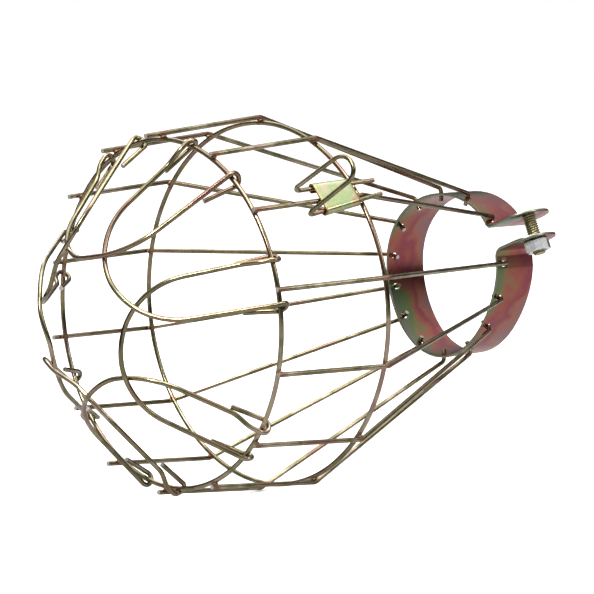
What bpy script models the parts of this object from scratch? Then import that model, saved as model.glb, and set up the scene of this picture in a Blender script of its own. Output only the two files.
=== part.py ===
"""Wire bulb guard of a poultry heat lamp, with its clamp collar and its hanging clip.

The collar's bore runs along X, the guard's nose points to -X, and +Z is up. The origin is the centre of the
collar's bore. Lengths are in metres. Angles round the bore are in degrees, from -Y (0) towards +Z (90).
"""

import math

import bmesh
import bpy
from mathutils import Matrix, Vector

# The cage of wires.
WIRE = 0.002  # diameter of the hoops, ribs and petals
LARGE_HOOP_RADIUS = 0.075  # to the middle of the wire
SMALL_HOOP_RADIUS = 0.0695
LARGE_HOOP_DISTANCE = 0.1066  # from the collar's edge to the large hoop
HOOP_SPACING = 0.0505
CAGE_DROP = 0.0049  # the cage hangs this far below the middle of the bore
HOOP_POINTS = 56

# The ribs. Each ends in a pin that is hooked through a slot of the band.
RIB_COUNT = 14
FIRST_RIB_ANGLE = 90.0
WELD_GAP = 0.0003  # between a rib and the hoop it crosses
PIN_SETBACK = 0.0038  # from the band's edge to the middle of the pins
PIN_REACH = 0.0025  # length of pin inside the band
PIN_SPREAD = 31.8  # degrees between the two pins on either side of the ears
PIN_OFFSET = -2.1  # degrees from the ears to the middle of those two pins
RIB_BEND_RADIUS = 0.0022
RIB_TAILS = (
    *(0.008, 0.001, 0.001, 0.0015, 0.001, 0.001, 0.001),
    *(0.003, 0.005, 0.003, 0.004, 0.003, 0.005, 0.006),
)

# The clamp band: a strip bent to a ring that is slightly oval and drawn out towards its ears.
BORE_RADIUS = 0.0346  # mean
BORE_OVAL = 0.048  # share of the radius added on the long axis and taken off across it
OVAL_ANGLE = 77.0  # of the oval's long axis
EAR_PULL = 0.032  # share of the radius that the drawing out adds twice at the ears
BAND_WALL = 0.0012
BAND_WIDTH = 0.0235
BAND_STEPS = 54
SLOT_LENGTH = 0.0036
SLOT_GAP = 0.0003  # between a pin and each side of its slot
EAR_ANGLE = 29.5  # where the ears leave the ring
EAR_LEAN = -7.0  # degrees by which the ears turn away from straight out
EAR_GAP = 0.0096
EAR_REACH = 0.0203  # from the ring's outside to an ear's tip
EAR_CORNER = 0.0105
UPPER_BEND_RADIUS = 0.0012  # between the ring and the upper ear
LOWER_BEND_RADIUS = 0.004

# The clamp's fasteners.
STUD_RADIUS = 0.00295
STUD_CHAMFER = 0.0006
STUD_REACH = 0.0128  # from the ring's outside to the middle of the stud
STUD_PAST_NUT = 0.0012
NUT_WIDTH = 0.010  # across flats
NUT_HEIGHT = 0.005
FIT_GAP = 0.0003  # between fasteners and what they pass through or sit on

# The petals: bent wires hooked round the small hoop, closed over the nose.
PETAL_ANGLES = (87.0, 42.0, -11.5, -66.5, -118.0, -170.5, 137.5)
PETAL_HALF_ANGLE = 34.5  # from a petal's middle to each of its hooks
PETAL_LENGTH = 0.0515
PETAL_END_RADIUS = 0.030
PETAL_TILT = 50.0  # degrees from the hoop's plane to a closed petal
HOOK_RADIUS = 0.00275  # of the wire's middle round the hoop
HOOK_TAIL = 0.013
TAIL_GAP = 0.00025  # between a hook's end and the leg beside it
PETAL_DIP = 0.0026  # how far a petal's last leg lies below its first
DIP_WIDTH = 0.018  # across which the petal changes from one level to the other
DIP_START = 0.003  # from the hinge line to where the dip begins
DIP_LENGTH = 0.009

# The clip on one rib: a rolled sheet plate and a wire hanging loop.
CLIP_RIB = 2  # counted from the first rib
CLIP_WIRE = 0.0018
CLIP_SHIFT = 0.0010  # sideways from the rib, at the middle of the plate
CLIP_YAW = 3.0  # degrees between the clip and its rib, seen from outside
CLIP_PITCH = 2.0  # degrees by which the clip lifts towards the collar
PLATE_WALL = 0.0008
PLATE_START = 0.0045  # from the large hoop towards the nose
PLATE_LENGTH = 0.0175
ROLL_TURN = 220.0  # degrees that the plate's edge wraps round a leg
LEG_OVERRUN = 0.008  # past the large hoop, towards the collar
LEG_SPACING_NEAR = 0.0065  # between the legs' ends by the collar
LEG_SPACING_FAR = 0.0115  # between the legs at the hairpins
HAIRPIN_DISTANCE = 0.0300  # from the large hoop to the outside of the hairpins
HAIRPIN_RADIUS = 0.0025
LOOP_SLOPE = 61.0  # degrees from the rib to the standing loop
LOOP_LENGTH = 0.0270
LOOP_WIDTH = 0.0106

NEAR_EDGE = -BAND_WIDTH / 2
LARGE_HOOP_X = NEAR_EDGE - LARGE_HOOP_DISTANCE
SMALL_HOOP_X = LARGE_HOOP_X - HOOP_SPACING
PIN_X = NEAR_EDGE + PIN_SETBACK
RIB_LIFT = WIRE + WELD_GAP  # from a hoop's middle to the middle of a rib
EAR_LEVEL = (EAR_GAP + BAND_WALL) / 2  # from the clamp's middle to the middle of an ear's wall
EAR_FACE = EAR_GAP / 2 + BAND_WALL  # from the clamp's middle to an ear's outer face


def around(x, radius, angle):
    """A point on a circle about the bore's axis."""
    turn = math.radians(angle)
    return Vector((x, -radius * math.cos(turn), radius * math.sin(turn)))


def tangent(angle):
    """The direction in which the angle round the bore grows."""
    turn = math.radians(angle)
    return Vector((0.0, math.sin(turn), math.cos(turn)))


def cage_point(x, radius, angle):
    """A point on a circle about the cage's own axis, which lies below the bore's."""
    return around(x, radius, angle) - Vector((0.0, 0.0, CAGE_DROP))


def smooth_step(share):
    share = min(max(share, 0.0), 1.0)
    return share * share * (3.0 - 2.0 * share)


def rounded(corners, radii, steps):
    """The path through these corners, with each inner corner replaced by an arc of its radius."""
    path = [corners[0]]
    for before, corner, after, radius in zip(corners, corners[1:], corners[2:], radii):
        arriving = (corner - before).normalized()
        leaving = (after - corner).normalized()
        turn = arriving.angle(leaving)
        centre = corner + (leaving - arriving).normalized() * radius / math.cos(turn / 2)
        spoke = corner - arriving * radius * math.tan(turn / 2) - centre
        axis = arriving.cross(leaving)
        for step in range(steps + 1):
            path.append(centre + Matrix.Rotation(turn * step / steps, 3, axis) @ spoke)
    return path + [corners[-1]]


def clear_scene():
    for thing in list(bpy.data.objects):
        bpy.data.objects.remove(thing, do_unlink=True)


def new_collection(name):
    made = bpy.data.collections.new(name)
    bpy.context.scene.collection.children.link(made)
    return made


def metal(name, colour, roughness):
    made = bpy.data.materials.new(name)
    made.use_nodes = True
    shader = made.node_tree.nodes["Principled BSDF"]
    shader.inputs["Base Color"].default_value = (*colour, 1.0)
    shader.inputs["Roughness"].default_value = roughness
    shader.inputs["Metallic"].default_value = 1.0
    return made


def add_object(name, data, material=None, place=None, collection=None):
    made = bpy.data.objects.new(name, data)
    (collection or PARTS).objects.link(made)
    if place is not None:
        made.matrix_world = place
    if material is not None and not data.materials:
        data.materials.append(material)
    return made


def wire_data(name, points, diameter, closed=False):
    """A round wire through the points, as curve data with filled ends."""
    data = bpy.data.curves.new(name, "CURVE")
    data.dimensions = "3D"
    data.bevel_depth = diameter / 2
    data.bevel_resolution = 2
    data.use_fill_caps = not closed
    spline = data.splines.new("POLY")
    spline.points.add(len(points) - 1)
    for place, point in zip(spline.points, points):
        place.co = (*point, 1.0)
    spline.use_cyclic_u = closed
    spline.use_smooth = True
    return data


def strip_data(name, rows):
    """An open sheet: each row is a line of points, and neighbouring rows are joined."""
    mesh = bmesh.new()
    lines = [[mesh.verts.new(point) for point in row] for row in rows]
    for line, following in zip(lines, lines[1:]):
        for i in range(len(line) - 1):
            mesh.faces.new((line[i], following[i], following[i + 1], line[i + 1]))
    data = bpy.data.meshes.new(name)
    mesh.to_mesh(data)
    mesh.free()
    data.shade_smooth()
    return data


def thicken(piece, wall):
    modifier = piece.modifiers.new("wall", "SOLIDIFY")
    modifier.thickness = wall
    modifier.offset = 0.0
    modifier.use_even_offset = True


def cut(piece, cutter):
    cutter.hide_render = True
    cutter.display_type = "WIRE"
    modifier = piece.modifiers.new(cutter.name, "BOOLEAN")
    modifier.operation = "DIFFERENCE"
    modifier.object = cutter


def basis(origin, x_axis, y_axis, z_axis):
    """The place of an object whose own axes point along these directions."""
    turned = Matrix((x_axis, y_axis, z_axis)).transposed()
    return Matrix.Translation(origin) @ turned.to_4x4()


def bore_radius(angle):
    """The bore's radius at an angle."""
    from_ears = math.radians(angle - EAR_ANGLE)
    oval = BORE_OVAL * math.cos(math.radians(2.0 * (angle - OVAL_ANGLE)))
    return BORE_RADIUS * (1.0 + oval + EAR_PULL * (math.cos(from_ears) + math.cos(3.0 * from_ears)))


def clamp_point(x, reach, height):
    """A point in the clamp: reach out from the ring's outside, height above the middle between the ears."""
    start = around(x, bore_radius(EAR_ANGLE) + BAND_WALL, EAR_ANGLE)
    direction = EAR_ANGLE + EAR_LEAN
    return start + around(0.0, reach, direction) + tangent(direction) * height


def ear_root(side):
    """The angle where an ear's middle line meets the ring's: side 1 is the upper ear, -1 the lower."""
    angle = EAR_ANGLE
    for _ in range(20):
        point = around(0.0, bore_radius(angle) + BAND_WALL / 2, angle) - clamp_point(0.0, 0.0, 0.0)
        height = point.dot(tangent(EAR_ANGLE + EAR_LEAN))
        angle += math.degrees((side * EAR_LEVEL - height) / bore_radius(angle))
    return angle


def band_line():
    """The strip's middle line from ear tip to ear tip, each point with half the strip's width there."""
    first, last = ear_root(1.0), ear_root(-1.0) + 360.0
    ring = []
    for step in range(BAND_STEPS + 1):
        angle = first + (last - first) * step / BAND_STEPS
        ring.append(around(0.0, bore_radius(angle) + BAND_WALL / 2, angle))
    top, bottom = clamp_point(0.0, EAR_REACH, EAR_LEVEL), clamp_point(0.0, EAR_REACH, -EAR_LEVEL)
    first_bend = rounded([top, ring[0], ring[1]], [UPPER_BEND_RADIUS], 4)[1:-1]
    last_bend = rounded([ring[-3], ring[-1], bottom], [LOWER_BEND_RADIUS], 6)[1:-1]
    ear = []
    for step in range(1, 8):
        turn = math.radians(90.0 * step / 7)
        half_width = BAND_WIDTH / 2 - EAR_CORNER * (1.0 - math.sin(turn))
        ear.append((EAR_REACH - EAR_CORNER * (1.0 - math.cos(turn)), half_width))
    ear.insert(0, (EAR_REACH, BAND_WIDTH / 2 - EAR_CORNER))
    line = [(clamp_point(0.0, reach, EAR_LEVEL), width) for reach, width in ear]
    line += [(point, BAND_WIDTH / 2) for point in first_bend + ring[1:-2] + last_bend]
    line += [(clamp_point(0.0, reach, -EAR_LEVEL), width) for reach, width in reversed(ear)]
    return line


def pin_angle(rib):
    """Where a rib's pin goes through the band: evenly round the ring, with a wider step across the ears."""
    step = (360.0 - PIN_SPREAD) / (RIB_COUNT - 1)
    return EAR_ANGLE + PIN_OFFSET - PIN_SPREAD / 2 - (rib - CLIP_RIB - 1) % RIB_COUNT * step


def slot_cutter():
    """One prism with round ends for each rib's slot."""
    radius = WIRE / 2 + SLOT_GAP
    middle = SLOT_LENGTH / 2 - radius
    outline = []
    for step in range(6):
        turn = math.radians(-90.0 + 36.0 * step)
        outline.append(Vector((middle + radius * math.cos(turn), radius * math.sin(turn), 0.0)))
    outline += [-point for point in outline]
    mesh = bmesh.new()
    for rib in range(RIB_COUNT):
        angle = pin_angle(rib)
        centre = around(PIN_X + middle, bore_radius(angle) - BAND_WALL, angle)
        outward = around(0.0, 1.0, angle)
        place = basis(centre, Vector((1.0, 0.0, 0.0)), tangent(angle) * -1.0, outward)
        face = mesh.faces.new([mesh.verts.new(place @ point) for point in outline])
        walls = bmesh.ops.extrude_face_region(mesh, geom=[face])["geom"]
        raised = [part for part in walls if isinstance(part, bmesh.types.BMVert)]
        bmesh.ops.translate(mesh, verts=raised, vec=outward * 3.0 * BAND_WALL)
    bmesh.ops.recalc_face_normals(mesh, faces=mesh.faces)
    data = bpy.data.meshes.new("slot_cutter")
    mesh.to_mesh(data)
    mesh.free()
    return add_object("slot_cutter", data, collection=CUTTERS)


def clamp_axes(height):
    """A place on the stud's axis, with Z up the stud."""
    outward = around(0.0, 1.0, EAR_ANGLE + EAR_LEAN)
    up = tangent(EAR_ANGLE + EAR_LEAN)
    return basis(clamp_point(0.0, STUD_REACH, height), outward.cross(up), outward, up)


def prism_data(name, sides, radius, height):
    """A prism or cylinder about its own Z axis, from -height to 0."""
    mesh = bmesh.new()
    bmesh.ops.create_cone(
        mesh, cap_ends=True, segments=sides, radius1=radius, radius2=radius, depth=height
    )
    bmesh.ops.translate(mesh, verts=mesh.verts, vec=(0.0, 0.0, -height / 2))
    data = bpy.data.meshes.new(name)
    mesh.to_mesh(data)
    mesh.free()
    return data


def make_band():
    rows = []
    for point, half_width in band_line():
        across = Vector((half_width, 0.0, 0.0))
        rows.append([point - across, point + across])
    band = add_object("clamp_band", strip_data("clamp_band", rows), BAND_METAL)
    thicken(band, BAND_WALL)
    cut(band, slot_cutter())
    hole = prism_data("stud_hole_cutter", 24, STUD_RADIUS + FIT_GAP, 4.0 * EAR_FACE)
    cut(band, add_object("stud_hole_cutter", hole, place=clamp_axes(2.0 * EAR_FACE), collection=CUTTERS))


def make_fasteners():
    length = 2.0 * EAR_FACE + FIT_GAP + NUT_HEIGHT + STUD_PAST_NUT
    stud = add_object("clamp_stud", prism_data("clamp_stud", 24, STUD_RADIUS, length), STUD_METAL)
    stud.matrix_world = clamp_axes(EAR_FACE)
    edge = stud.modifiers.new("chamfer", "BEVEL")
    edge.width = STUD_CHAMFER
    edge.segments = 1
    stud.data.shade_smooth()
    stud.data.set_sharp_from_angle(angle=math.radians(35.0))
    hexagon = prism_data("clamp_nut", 6, NUT_WIDTH / math.sqrt(3.0), NUT_HEIGHT)
    nut = add_object("clamp_nut", hexagon, NUT_METAL)
    nut.matrix_world = clamp_axes(-EAR_FACE - FIT_GAP)
    hole = prism_data("nut_bore_cutter", 24, STUD_RADIUS + FIT_GAP, 2.0 * NUT_HEIGHT)
    place = clamp_axes(-EAR_FACE - FIT_GAP + NUT_HEIGHT / 2)
    cut(nut, add_object("nut_bore_cutter", hole, place=place, collection=CUTTERS))


def make_hoop(name, x, radius):
    points = [around(0.0, radius, FIRST_RIB_ANGLE + 360.0 * i / HOOP_POINTS) for i in range(HOOP_POINTS)]
    place = Matrix.Translation((x, 0.0, -CAGE_DROP))
    add_object(name, wire_data(name, points, WIRE, closed=True), WIRE_METAL, place)


def rib_angle(rib):
    return FIRST_RIB_ANGLE - 360.0 * rib / RIB_COUNT


def rib_at_hoop(rib, x, hoop_radius):
    return cage_point(x, hoop_radius + RIB_LIFT, rib_angle(rib))


def make_rib(rib):
    angle = pin_angle(rib)
    inside = around(PIN_X, bore_radius(angle) - PIN_REACH, angle)
    shoulder = around(PIN_X, bore_radius(angle) + BAND_WALL + WIRE, angle)
    large = rib_at_hoop(rib, LARGE_HOOP_X, LARGE_HOOP_RADIUS)
    small = rib_at_hoop(rib, SMALL_HOOP_X, SMALL_HOOP_RADIUS)
    end = small + (small - large).normalized() * (WIRE / 2 + RIB_TAILS[rib])
    radii = [RIB_BEND_RADIUS, 2.0 * RIB_BEND_RADIUS]
    half_turn = (large - shoulder).angle(end - large) / 2.0
    large += around(0.0, radii[1] * (1.0 / math.cos(half_turn) - 1.0), rib_angle(rib))
    path = rounded([inside, shoulder, large, end], radii, 4)
    name = f"rib_{rib + 1:02d}"
    data = wire_data(name, [point - inside for point in path], WIRE)
    add_object(name, data, WIRE_METAL, Matrix.Translation(inside))


def petal_level(across, along):
    """Height of a petal's wire above its hinge plane. One leg dips, so the next petal's leg lies over it."""
    side = smooth_step(across / DIP_WIDTH + 0.5)
    return HOOK_RADIUS - PETAL_DIP * side * smooth_step((along - DIP_START) / DIP_LENGTH)


def petal_path():
    """A petal's wire: X along its hinge line, Y towards its round end and Z outwards."""
    half_chord = SMALL_HOOP_RADIUS * math.sin(math.radians(PETAL_HALF_ANGLE))
    centre = PETAL_LENGTH - PETAL_END_RADIUS
    to_hook = math.hypot(half_chord, centre)
    arc_start = math.acos(PETAL_END_RADIUS / to_hook) - math.atan2(centre, half_chord)
    leg_end = PETAL_END_RADIUS * math.cos(arc_start), centre + PETAL_END_RADIUS * math.sin(arc_start)
    slope = (half_chord - leg_end[0]) / leg_end[1]

    def leg_point(side, along, level):
        return Vector((side * (half_chord - slope * max(along, 0.0)), along, level))

    def hook(side):
        """The wire from the end of its tail, round the hoop, to the start of the leg."""
        leg_level = petal_level(side * half_chord, HOOK_TAIL)
        rise = (leg_level - WIRE - TAIL_GAP) / math.hypot(HOOK_TAIL, HOOK_RADIUS)
        lean = math.asin(rise) + math.atan2(HOOK_RADIUS, HOOK_TAIL)
        start = HOOK_RADIUS * math.sin(lean), -HOOK_RADIUS * math.cos(lean)
        points = []
        for share in (1.0, 0.5):
            along = start[0] + HOOK_TAIL * share * math.cos(lean)
            points.append(leg_point(side, along, start[1] + HOOK_TAIL * share * math.sin(lean)))
        turn = math.pi + lean
        for step in range(9):
            bend = lean - turn * step / 8
            along, level = HOOK_RADIUS * math.sin(bend), -HOOK_RADIUS * math.cos(bend)
            points.append(Vector((side * half_chord, along, level)))
        return points

    def leg(side):
        stations = [leg_end[1] * step / 8 for step in range(1, 8)]
        return [leg_point(side, y, petal_level(side * half_chord, y)) for y in stations]

    arc = []
    for step in range(17):
        turn = arc_start + (math.pi - 2.0 * arc_start) * step / 16
        across = PETAL_END_RADIUS * math.cos(turn)
        along = centre + PETAL_END_RADIUS * math.sin(turn)
        arc.append(Vector((across, along, petal_level(across, along))))
    far_side = hook(-1.0) + leg(-1.0)
    return hook(1.0) + leg(1.0) + arc + far_side[::-1]


def petal_place(angle):
    """A petal's hinge line is the chord between its two hooks on the small hoop."""
    chord_radius = SMALL_HOOP_RADIUS * math.cos(math.radians(PETAL_HALF_ANGLE))
    tilt = math.radians(PETAL_TILT)
    outward = around(0.0, 1.0, angle)
    nose = Vector((-1.0, 0.0, 0.0))
    along = nose * math.sin(tilt) - outward * math.cos(tilt)
    up = nose * math.cos(tilt) + outward * math.sin(tilt)
    return basis(cage_point(SMALL_HOOP_X, chord_radius, angle), tangent(angle), along, up)


def clip_place():
    """The clip's axes: X along its rib towards the nose, Z out from the rib, origin over the large hoop."""
    middle = PLATE_START + PLATE_LENGTH / 2
    large = rib_at_hoop(CLIP_RIB, LARGE_HOOP_X, LARGE_HOOP_RADIUS)
    small = rib_at_hoop(CLIP_RIB, SMALL_HOOP_X, SMALL_HOOP_RADIUS)
    along = (small - large).normalized()
    side = tangent(rib_angle(CLIP_RIB)) * -1.0
    lift = PLATE_LENGTH / 2 * math.sin(math.radians(CLIP_PITCH))
    turn = Matrix.Rotation(math.radians(CLIP_YAW), 4, "Z") @ Matrix.Rotation(math.radians(CLIP_PITCH), 4, "Y")
    shifted = Matrix.Translation((middle, -CLIP_SHIFT, lift)) @ turn @ Matrix.Translation((-middle, 0.0, 0.0))
    return basis(large, along, side, along.cross(side)) @ shifted


def leg_offset(along):
    """Half the distance between the loop's two legs, at this distance from the large hoop."""
    share = (along + LEG_OVERRUN) / (HAIRPIN_DISTANCE + LEG_OVERRUN)
    return (LEG_SPACING_NEAR + (LEG_SPACING_FAR - LEG_SPACING_NEAR) * share) / 2


def make_clip():
    roll_radius = CLIP_WIRE / 2 + FIT_GAP + PLATE_WALL / 2
    leg_height = WIRE / 2 + FIT_GAP + PLATE_WALL / 2 - roll_radius
    rows = []
    for along in (PLATE_START, PLATE_START + PLATE_LENGTH):
        half = []
        for step in range(11):
            turn = math.radians(90.0 - ROLL_TURN * (10 - step) / 10)
            across = leg_offset(along) + roll_radius * math.cos(turn)
            half.append(Vector((along, -across, leg_height + roll_radius * math.sin(turn))))
        mirrored = [Vector((point.x, -point.y, point.z)) for point in reversed(half)]
        rows.append(half + mirrored)
    place = clip_place()
    plate = add_object("clip_plate", strip_data("clip_plate", rows), PLATE_METAL, place)
    thicken(plate, PLATE_WALL)

    slope = math.radians(LOOP_SLOPE)
    bend_reach = HAIRPIN_RADIUS / math.tan(slope / 2)
    corner_x = HAIRPIN_DISTANCE - HAIRPIN_RADIUS + bend_reach
    top_x = corner_x - LOOP_LENGTH * math.cos(slope)
    top_z = leg_height + LOOP_LENGTH * math.sin(slope)
    one_side = [
        Vector((-LEG_OVERRUN, LEG_SPACING_NEAR / 2, leg_height)),
        Vector((corner_x, leg_offset(corner_x), leg_height)),
        Vector((top_x, LOOP_WIDTH / 2, top_z)),
    ]
    other_side = [Vector((point.x, -point.y, point.z)) for point in reversed(one_side)]
    loop_radius = 0.98 * LOOP_WIDTH / 2
    radii = [HAIRPIN_RADIUS, loop_radius, loop_radius, HAIRPIN_RADIUS]
    loop = wire_data("clip_loop", rounded(one_side + other_side, radii, 7), CLIP_WIRE)
    add_object("clip_loop", loop, WIRE_METAL, place)


clear_scene()
PARTS = new_collection("heat_lamp_guard")
CUTTERS = new_collection("cutters")
WIRE_METAL = metal("yellow_zinc_wire", (0.62, 0.50, 0.27), 0.28)
BAND_METAL = metal("yellow_zinc_band", (0.56, 0.36, 0.24), 0.26)
PLATE_METAL = metal("yellow_zinc_plate", (0.60, 0.56, 0.26), 0.26)
STUD_METAL = metal("yellow_zinc_stud", (0.58, 0.48, 0.30), 0.30)
NUT_METAL = metal("bright_zinc_nut", (0.72, 0.73, 0.75), 0.22)

make_band()
make_fasteners()
make_hoop("hoop_large", LARGE_HOOP_X, LARGE_HOOP_RADIUS)
make_hoop("hoop_small", SMALL_HOOP_X, SMALL_HOOP_RADIUS)
for number in range(RIB_COUNT):
    make_rib(number)
petal_wire = wire_data("petal", petal_path(), WIRE)
for number, petal_angle in enumerate(PETAL_ANGLES):
    add_object(f"petal_{number + 1}", petal_wire, WIRE_METAL, petal_place(petal_angle))
make_clip()
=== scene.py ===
# %% [markdown]
# # A wire bulb guard for a poultry heat lamp
#
# A heat lamp over chicks needs a cage that keeps straw, wings and hands off a very hot bulb. This one is
# bent from two-millimetre steel wire: fourteen ribs are welded to two hoops, seven bent petals close the
# front, and a sheet clamp with one screw grips the lamp holder. All of it is zinc plated and yellow
# passivated, which gives the gold, olive and pink tints. This lesson dresses the finished mechanical model
# in those shapes and finishes.

# %% Load the mechanical model
import math

import bmesh
import bpy
from mathutils import Matrix, Vector


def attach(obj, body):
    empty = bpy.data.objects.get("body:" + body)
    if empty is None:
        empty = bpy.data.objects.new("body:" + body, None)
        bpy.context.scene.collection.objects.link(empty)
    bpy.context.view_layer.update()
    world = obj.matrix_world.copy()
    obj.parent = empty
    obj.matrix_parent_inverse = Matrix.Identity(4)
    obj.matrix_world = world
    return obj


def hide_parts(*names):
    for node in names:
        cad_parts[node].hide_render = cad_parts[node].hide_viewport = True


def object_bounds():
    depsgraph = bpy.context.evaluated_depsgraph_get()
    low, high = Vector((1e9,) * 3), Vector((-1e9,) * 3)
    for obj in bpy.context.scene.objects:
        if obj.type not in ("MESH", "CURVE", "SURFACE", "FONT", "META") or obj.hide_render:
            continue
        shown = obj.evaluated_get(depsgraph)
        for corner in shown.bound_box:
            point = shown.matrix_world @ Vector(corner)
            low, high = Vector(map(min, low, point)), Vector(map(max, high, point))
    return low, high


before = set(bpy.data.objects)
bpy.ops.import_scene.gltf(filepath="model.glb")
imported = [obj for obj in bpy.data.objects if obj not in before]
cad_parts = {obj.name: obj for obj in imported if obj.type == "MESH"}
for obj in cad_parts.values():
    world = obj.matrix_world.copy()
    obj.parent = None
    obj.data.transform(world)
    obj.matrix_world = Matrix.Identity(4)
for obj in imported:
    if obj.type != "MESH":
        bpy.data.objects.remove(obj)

packed_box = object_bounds()

# %% [markdown]
# ## The sizes
#
# A guard like this is drawn from a handful of numbers: the wire, the two hoops, the clamp's ring and ears,
# and the bends of the petals. They are the sizes of the mechanical model, in metres, so that every dressed
# piece falls exactly on its plain one. The clamp's bore runs along X, the nose points to -X and +Z is up.

# %% Sizes of the cage and its ribs
WIRE = 0.002
LARGE_HOOP_RADIUS, SMALL_HOOP_RADIUS = 0.075, 0.0695
LARGE_HOOP_DISTANCE, HOOP_SPACING = 0.1066, 0.0505
CAGE_DROP = 0.0049
RIB_COUNT, FIRST_RIB_ANGLE = 14, 90.0
WELD_GAP = 0.0003
PIN_SETBACK, PIN_REACH, PIN_SPREAD, PIN_OFFSET = 0.0038, 0.0025, 31.8, -2.1
RIB_BEND_RADIUS = 0.0022
RIB_TAILS = (
    0.008, 0.001, 0.001, 0.0015, 0.001, 0.001, 0.001, 0.003, 0.005, 0.003, 0.004, 0.003, 0.005, 0.006,
)

# %% Sizes of the clamp
BORE_RADIUS, BORE_OVAL, OVAL_ANGLE, EAR_PULL = 0.0346, 0.048, 77.0, 0.032
BAND_WALL, BAND_WIDTH = 0.0012, 0.0235
SLOT_LENGTH, SLOT_GAP = 0.0036, 0.0003
EAR_ANGLE, EAR_LEAN, EAR_GAP, EAR_REACH, EAR_CORNER = 29.5, -7.0, 0.0096, 0.0203, 0.0105
UPPER_BEND_RADIUS, LOWER_BEND_RADIUS = 0.0012, 0.004
STUD_RADIUS, STUD_REACH, STUD_PAST_NUT = 0.00295, 0.0128, 0.0012
NUT_WIDTH, NUT_HEIGHT, FIT_GAP = 0.010, 0.005, 0.0003

# %% Sizes of the petals and of the hanging clip
PETAL_ANGLES = (87.0, 42.0, -11.5, -66.5, -118.0, -170.5, 137.5)
PETAL_HALF_ANGLE, PETAL_LENGTH, PETAL_END_RADIUS, PETAL_TILT = 34.5, 0.0515, 0.030, 50.0
HOOK_RADIUS, HOOK_TAIL, TAIL_GAP = 0.00275, 0.013, 0.00025
PETAL_DIP, DIP_WIDTH, DIP_START, DIP_LENGTH = 0.0026, 0.018, 0.003, 0.009
CLIP_RIB, CLIP_WIRE, CLIP_SHIFT, CLIP_YAW, CLIP_PITCH = 2, 0.0018, 0.0010, 3.0, 2.0
PLATE_WALL, PLATE_START, PLATE_LENGTH, ROLL_TURN = 0.0008, 0.0045, 0.0175, 220.0
LEG_OVERRUN, LEG_SPACING_NEAR, LEG_SPACING_FAR = 0.008, 0.0065, 0.0115
HAIRPIN_DISTANCE, HAIRPIN_RADIUS = 0.0300, 0.0025
LOOP_SLOPE, LOOP_LENGTH, LOOP_WIDTH = 61.0, 0.0270, 0.0106

# %% Sizes that follow from the others
LARGE_HOOP_X = -BAND_WIDTH / 2 - LARGE_HOOP_DISTANCE
SMALL_HOOP_X = LARGE_HOOP_X - HOOP_SPACING
PIN_X = -BAND_WIDTH / 2 + PIN_SETBACK
RIB_LIFT = WIRE + WELD_GAP
EAR_LEVEL = (EAR_GAP + BAND_WALL) / 2
EAR_FACE = EAR_GAP / 2 + BAND_WALL
print(f"hoops at x = {LARGE_HOOP_X:.4f} and {SMALL_HOOP_X:.4f} m")

# %% [markdown]
# ## The camera, the light and the floor
#
# Bright metal shows what stands round it, so the light matters as much as the finish. A maker would stand
# the guard on a pale table under a wide, soft light. Wires look flat if everything round them is white, so
# a studio puts grey cards just out of sight. Here the camera sees a white room and a pale table, and the
# metal sees a room that is bright above and dim at the sides, and a grey table. A Light Path node tells the
# two apart. The lamps stand where no flat of the nut throws one of them straight at the camera, at rest or
# at a quarter turn.

# %% Camera
CAMERA_PLACE, CAMERA_AZIMUTH, CAMERA_ELEVATION = (-0.64528, -0.60243, 0.09179), -42.259, 6.674
LENS, SENSOR_WIDTH = 117.87, 36.0
camera_data = bpy.data.cameras.new("camera")
camera_data.lens = LENS
camera_data.sensor_width = SENSOR_WIDTH
camera_data.clip_start, camera_data.clip_end = 0.01, 60.0
camera = bpy.data.objects.new("camera", camera_data)
bpy.context.scene.collection.objects.link(camera)
camera.location = CAMERA_PLACE
camera.rotation_euler = (math.radians(90.0 - CAMERA_ELEVATION), 0.0, math.radians(CAMERA_AZIMUTH))
bpy.context.scene.camera = camera
print("camera", tuple(round(c, 3) for c in camera.location))

# %% [markdown]
# ## Two small helpers for node trees
#
# The finishes and most of the shapes below are node trees. Wired by hand, a tree takes a page of near-equal
# lines, so two small classes do the wiring. `Signal` wraps a socket, so that an expression such as `1 -
# heat * 0.5` adds its own Math nodes. `Bench` adds any other node from its type, its settings and the
# values or links of its sockets.


# %% The helpers
class Signal:
    """A node's output that takes part in Python arithmetic."""

    def __init__(self, socket):
        self.socket = socket

    def maths(self, operation, first, second=0.0):
        tree = self.socket.id_data
        made = tree.nodes.new("ShaderNodeMath")
        made.operation = operation
        for place, value in zip(made.inputs, (first, second)):
            if isinstance(value, Signal):
                tree.links.new(value.socket, place)
            else:
                place.default_value = value
        return Signal(made.outputs[0])

    def __add__(self, other):
        return self.maths("ADD", self, other)

    def __sub__(self, other):
        return self.maths("SUBTRACT", self, other)

    def __rsub__(self, other):
        return self.maths("SUBTRACT", other, self)

    def __mul__(self, other):
        return self.maths("MULTIPLY", self, other)

    __radd__ = __add__
    __rmul__ = __mul__


class Bench:
    """Where a node tree is put together."""

    def __init__(self, tree):
        self.tree = tree

    def node(self, kind, settings=None, sockets=None, output=0):
        made = self.tree.nodes.new(kind)
        for name, value in (settings or {}).items():
            if name == "stops":
                ramp = made.color_ramp
                while len(ramp.elements) < len(value):
                    ramp.elements.new(1.0)
                for element, (place, colour) in zip(ramp.elements, value):
                    element.position = place
                    element.color = (*colour, 1.0)
            else:
                setattr(made, name, value)
        for name, value in (sockets or {}).items():
            if isinstance(value, Signal):
                self.tree.links.new(value.socket, made.inputs[name])
            else:
                made.inputs[name].default_value = value
        return Signal(made.outputs[output])


MAP_SOCKETS = ("Value", "From Min", "From Max", "To Min", "To Max")
print("helpers ready")

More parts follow.
